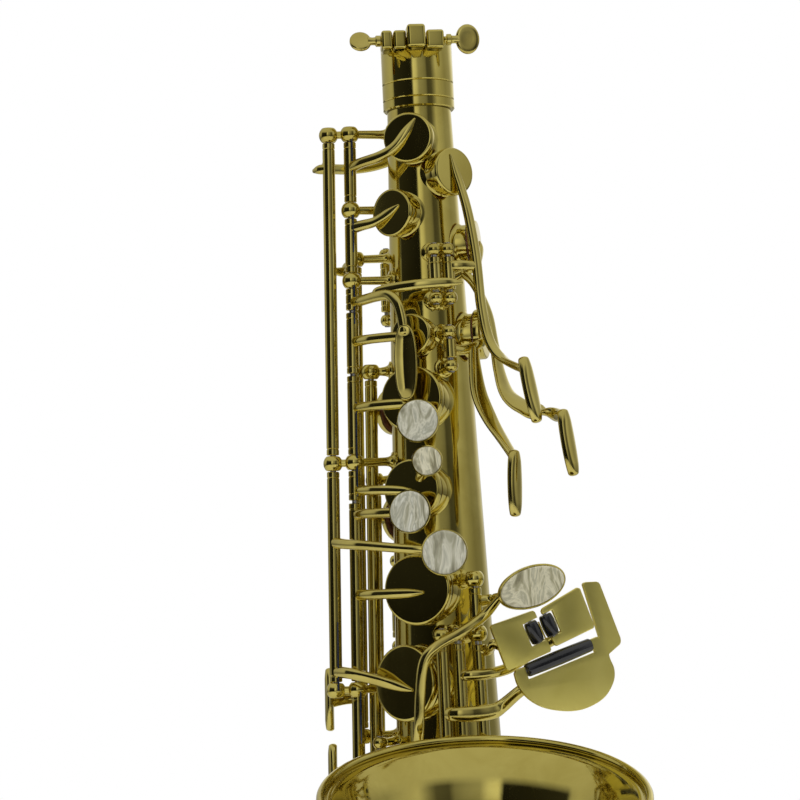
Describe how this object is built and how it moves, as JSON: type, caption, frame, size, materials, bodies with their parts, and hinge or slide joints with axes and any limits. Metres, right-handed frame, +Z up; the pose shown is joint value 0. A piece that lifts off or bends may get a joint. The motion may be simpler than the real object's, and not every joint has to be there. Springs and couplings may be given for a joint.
{
  "type": "alto saxophone",
  "caption": "Alto saxophone body without neck or mouthpiece: lacquered tube, bow and bell with sprung keys, pearls and a left-hand table.",
  "frame": {"origin": "centre of the neck socket's mouth, on the body tube's axis", "axes": "+Z up the body tube and out of the socket, -Y towards the bell, +X towards the left-hand table and palm keys"},
  "size_m": [0.1315, 0.2095, 0.5974],
  "materials": {
    "lacquered_brass": "mirror-bright clear lacquer",
    "spring_steel": "plain turned steel",
    "pearl": "polished mother-of-pearl",
    "black_plastic": "gloss",
    "felt": "felt"
  },
  "bodies": {
    "horn": {"body_tube": "lacquered_brass", "neck_receiver": "lacquered_brass", "bow": "lacquered_brass", "bell_stem": "lacquered_brass", "bell": "lacquered_brass", "bell_brace": "lacquered_brass", "key_posts": "lacquered_brass", "hinge_rods": "spring_steel", "key_guards": "lacquered_brass", "guard_felts": "felt", "strap_ring": "lacquered_brass", "thumb_hook": "lacquered_brass", "thumb_rest": "black_plastic"},
    "high_fs_key": {"high_fs_key": "lacquered_brass"},
    "high_e_key": {"high_e_key": "lacquered_brass"},
    "high_e_lever": {"high_e_lever": "lacquered_brass"},
    "side_c_key": {"side_c_key": "lacquered_brass"},
    "side_bb_key": {"side_bb_key": "lacquered_brass"},
    "palm_f_key": {"palm_f_key": "lacquered_brass"},
    "palm_eb_key": {"palm_eb_key": "lacquered_brass"},
    "palm_d_key": {"palm_d_key": "lacquered_brass"},
    "front_f_key": {"front_f_key": "lacquered_brass"},
    "octave_ring_key": {"octave_ring_key": "lacquered_brass"},
    "octave_thumb_key": {"octave_thumb_key": "lacquered_brass"},
    "octave_pip_key": {"octave_pip_key": "lacquered_brass"},
    "c_vent_key": {"c_vent_key": "lacquered_brass"},
    "b_key": {"b_key": "lacquered_brass", "b_pearl": "pearl"},
    "bis_key": {"bis_key": "lacquered_brass", "bis_pearl": "pearl"},
    "a_key": {"a_key": "lacquered_brass", "a_pearl": "pearl"},
    "g_key": {"g_key": "lacquered_brass", "g_pearl": "pearl"},
    "gs_touch": {"gs_touch": "lacquered_brass", "gs_pearl": "pearl"},
    "gs_key": {"gs_key": "lacquered_brass"},
    "low_cs_key": {"low_cs_key": "lacquered_brass"},
    "low_b_key": {"low_b_key": "lacquered_brass"},
    "low_bb_key": {"low_bb_key": "lacquered_brass"},
    "fs_key": {"fs_key": "lacquered_brass"},
    "f_key": {"f_key": "lacquered_brass", "f_pearl": "pearl"},
    "e_key": {"e_key": "lacquered_brass", "e_pearl": "pearl"},
    "d_key": {"d_key": "lacquered_brass", "d_pearl": "pearl"},
    "low_eb_key": {"low_eb_key": "lacquered_brass"},
    "low_c_key": {"low_c_key": "lacquered_brass"},
    "neck_screw": {"neck_screw": "lacquered_brass"},
    "lyre_screw": {"lyre_screw": "lacquered_brass"},
    "cs_roller": {"cs_roller": "black_plastic"},
    "b_roller": {"b_roller": "black_plastic"},
    "bb_roller": {"bb_roller": "black_plastic"},
    "eb_roller": {"eb_roller": "black_plastic"},
    "c_roller": {"c_roller": "black_plastic"}
  },
  "joints": [
    {"name": "high_fs_hinge", "type": "hinge", "parent": "horn", "child": "high_fs_key", "pos_m": [-0.03073, -0.00542, -0.054], "axis": [0.0306, 0.0054, 0.9995], "range_deg": [-10, 0], "stiffness_Nm_per_rad": 0.1, "springref_deg": 14.32},
    {"name": "high_e_hinge", "type": "hinge", "parent": "horn", "child": "high_e_key", "pos_m": [-0.03168, -0.00559, -0.085], "axis": [0.0306, 0.0054, 0.9995], "range_deg": [-10, 0]},
    {"name": "high_e_lever_hinge", "type": "hinge", "parent": "horn", "child": "high_e_lever", "pos_m": [-0.03203, 0.00739, -0.188], "axis": [0.0303, -0.007, 0.9995], "range_deg": [0, 8], "stiffness_Nm_per_rad": 0.1, "springref_deg": -14.32},
    {"name": "side_c_hinge", "type": "hinge", "parent": "horn", "child": "side_c_key", "pos_m": [-0.02794, 0.00343, -0.229], "axis": [0.0308, -0.0038, 0.9995], "range_deg": [0, 10], "stiffness_Nm_per_rad": 0.1, "springref_deg": -14.32},
    {"name": "side_bb_hinge", "type": "hinge", "parent": "horn", "child": "side_bb_key", "pos_m": [-0.02706, 0.01262, -0.268], "axis": [0.0282, -0.0131, 0.9995], "range_deg": [0, 10], "stiffness_Nm_per_rad": 0.1, "springref_deg": -14.32},
    {"name": "palm_f_hinge", "type": "hinge", "parent": "horn", "child": "palm_f_key", "pos_m": [0.00617, -0.02385, -0.1], "axis": [-0.0078, 0.0301, 0.9995], "range_deg": [-4.5, 0], "stiffness_Nm_per_rad": 0.1, "springref_deg": 14.32},
    {"name": "palm_eb_hinge", "type": "hinge", "parent": "horn", "child": "palm_eb_key", "pos_m": [0.00043, -0.02463, -0.1], "axis": [-0.0005, 0.0311, 0.9995], "range_deg": [-6, 0], "stiffness_Nm_per_rad": 0.1, "springref_deg": 14.32},
    {"name": "palm_d_hinge", "type": "hinge", "parent": "horn", "child": "palm_d_key", "pos_m": [0.00498, -0.02562, -0.131], "axis": [-0.0059, 0.0305, 0.9995], "range_deg": [-7, 0], "stiffness_Nm_per_rad": 0.1, "springref_deg": 14.32},
    {"name": "front_f_hinge", "type": "hinge", "parent": "horn", "child": "front_f_key", "pos_m": [-0.03236, -0.00571, -0.107], "axis": [0.0306, 0.0054, 0.9995], "range_deg": [0, 3], "stiffness_Nm_per_rad": 0.1, "springref_deg": -14.32},
    {"name": "octave_ring_hinge", "type": "hinge", "parent": "horn", "child": "octave_ring_key", "pos_m": [-0.0411, -0.00432, -0.106], "axis": [0.0309, 0.0032, 0.9995], "range_deg": [0, 6]},
    {"name": "octave_thumb_hinge", "type": "hinge", "parent": "horn", "child": "octave_thumb_key", "pos_m": [-0.01611, 0.02388, -0.234], "axis": [0.0174, -0.0258, 0.9995], "range_deg": [-6, 0], "stiffness_Nm_per_rad": 0.1, "springref_deg": 14.32},
    {"name": "octave_pip_hinge", "type": "hinge", "parent": "horn", "child": "octave_pip_key", "pos_m": [-0.01519, 0.01811, -0.1], "axis": [0.02, -0.0238, 0.9995], "range_deg": [0, 8], "stiffness_Nm_per_rad": 0.1, "springref_deg": -14.32},
    {"name": "c_vent_hinge", "type": "hinge", "parent": "horn", "child": "c_vent_key", "pos_m": [-0.03291, -0.0058, -0.125], "axis": [0.0306, 0.0054, 0.9995], "range_deg": [0, 5], "stiffness_Nm_per_rad": 0.1, "springref_deg": -14.32},
    {"name": "b_hinge", "type": "hinge", "parent": "horn", "child": "b_key", "pos_m": [-0.03383, -0.00596, -0.155], "axis": [0.0306, 0.0054, 0.9995], "range_deg": [0, 5], "stiffness_Nm_per_rad": 0.1, "springref_deg": -14.32},
    {"name": "bis_hinge", "type": "hinge", "parent": "horn", "child": "bis_key", "pos_m": [-0.03471, -0.00612, -0.184], "axis": [0.0306, 0.0054, 0.9995], "range_deg": [0, 5], "stiffness_Nm_per_rad": 0.1, "springref_deg": -14.32},
    {"name": "a_hinge", "type": "hinge", "parent": "horn", "child": "a_key", "pos_m": [-0.03563, -0.00628, -0.214], "axis": [0.0306, 0.0054, 0.9995], "range_deg": [0, 5], "stiffness_Nm_per_rad": 0.1, "springref_deg": -14.32},
    {"name": "g_hinge", "type": "hinge", "parent": "horn", "child": "g_key", "pos_m": [-0.04505, -0.00474, -0.234], "axis": [0.0309, 0.0032, 0.9995], "range_deg": [0, 4], "stiffness_Nm_per_rad": 0.1, "springref_deg": -14.32},
    {"name": "gs_touch_hinge", "type": "hinge", "parent": "horn", "child": "gs_touch", "pos_m": [0.00985, -0.0303, -0.236], "axis": [-0.0096, 0.0295, 0.9995], "range_deg": [0, 7], "stiffness_Nm_per_rad": 0.1, "springref_deg": -14.32},
    {"name": "gs_hinge", "type": "hinge", "parent": "horn", "child": "gs_key", "pos_m": [-0.02975, -0.00853, -0.303], "axis": [0.0299, 0.0086, 0.9995], "range_deg": [-7, 0]},
    {"name": "low_cs_hinge", "type": "hinge", "parent": "horn", "child": "low_cs_key", "pos_m": [0.01114, -0.03429, -0.371], "axis": [-0.0096, 0.0295, 0.9995], "range_deg": [0, 6], "stiffness_Nm_per_rad": 0.1, "springref_deg": -14.32},
    {"name": "low_b_hinge", "type": "hinge", "parent": "horn", "child": "low_b_key", "pos_m": [0.00161, -0.03687, -0.35], "axis": [-0.0014, 0.031, 0.9995], "range_deg": [0, 4.5], "stiffness_Nm_per_rad": 0.1, "springref_deg": -14.32},
    {"name": "low_bb_hinge", "type": "hinge", "parent": "horn", "child": "low_bb_key", "pos_m": [-0.00533, -0.03567, -0.323], "axis": [0.0046, 0.0307, 0.9995], "range_deg": [0, 4.5], "stiffness_Nm_per_rad": 0.1, "springref_deg": -14.32},
    {"name": "fs_hinge", "type": "hinge", "parent": "horn", "child": "fs_key", "pos_m": [-0.03933, -0.00694, -0.335], "axis": [0.0306, 0.0054, 0.9995], "range_deg": [0, 6], "stiffness_Nm_per_rad": 0.1, "springref_deg": -14.32},
    {"name": "f_hinge", "type": "hinge", "parent": "horn", "child": "f_key", "pos_m": [-0.04034, -0.00711, -0.368], "axis": [0.0306, 0.0054, 0.9995], "range_deg": [0, 6], "stiffness_Nm_per_rad": 0.1, "springref_deg": -14.32},
    {"name": "e_hinge", "type": "hinge", "parent": "horn", "child": "e_key", "pos_m": [-0.04148, -0.00731, -0.405], "axis": [0.0306, 0.0054, 0.9995], "range_deg": [0, 6], "stiffness_Nm_per_rad": 0.1, "springref_deg": -14.32},
    {"name": "d_hinge", "type": "hinge", "parent": "horn", "child": "d_key", "pos_m": [-0.04258, -0.00751, -0.441], "axis": [0.0306, 0.0054, 0.9995], "range_deg": [0, 6], "stiffness_Nm_per_rad": 0.1, "springref_deg": -14.32},
    {"name": "low_eb_hinge", "type": "hinge", "parent": "horn", "child": "low_eb_key", "pos_m": [-0.03734, -0.01821, -0.483], "axis": [0.0279, 0.0136, 0.9995], "range_deg": [-6, 0], "stiffness_Nm_per_rad": 0.1, "springref_deg": 14.32},
    {"name": "low_c_hinge", "type": "hinge", "parent": "horn", "child": "low_c_key", "pos_m": [-0.03675, 0.01485, -0.486], "axis": [0.0288, -0.0116, 0.9995], "range_deg": [0, 4], "stiffness_Nm_per_rad": 0.1, "springref_deg": -14.32},
    {"name": "neck_screw_turn", "type": "hinge", "parent": "horn", "child": "neck_screw", "pos_m": [0.01, -0.0174, -0.0015], "axis": [1, 0, 0], "range_deg": [0, 90]},
    {"name": "lyre_screw_turn", "type": "hinge", "parent": "horn", "child": "lyre_screw", "pos_m": [-0.014, -0.0174, -0.0015], "axis": [-1, 0, 0], "range_deg": [0, 90]},
    {"name": "cs_roller_spin", "type": "hinge", "parent": "low_cs_key", "child": "cs_roller", "pos_m": [0.03188, -0.03723, -0.2474], "axis": [0.3624, 0.0971, -0.9269], "continuous": true},
    {"name": "b_roller_spin", "type": "hinge", "parent": "low_b_key", "child": "b_roller", "pos_m": [0.03835, -0.0355, -0.2448], "axis": [0.3624, 0.0971, -0.9269], "continuous": true},
    {"name": "bb_roller_spin", "type": "hinge", "parent": "low_bb_key", "child": "bb_roller", "pos_m": [0.04183, -0.03457, -0.2581], "axis": [0.9225, 0.2472, 0.2964], "continuous": true},
    {"name": "eb_roller_spin", "type": "hinge", "parent": "low_eb_key", "child": "eb_roller", "pos_m": [-0.052, 0.003, -0.4746], "axis": [0, 1, 0], "continuous": true},
    {"name": "c_roller_spin", "type": "hinge", "parent": "low_c_key", "child": "c_roller", "pos_m": [-0.05279, 0.0041, -0.48396], "axis": [0.0697, 0.9976, -0.002], "continuous": true}
  ],
  "couplings": [
    {"joint": "high_e_hinge", "follows": "high_e_lever_hinge", "ratio": -1.1},
    {"joint": "octave_ring_hinge", "follows": "octave_thumb_hinge", "ratio": -1},
    {"joint": "gs_hinge", "follows": "gs_touch_hinge", "ratio": -1}
  ]
}
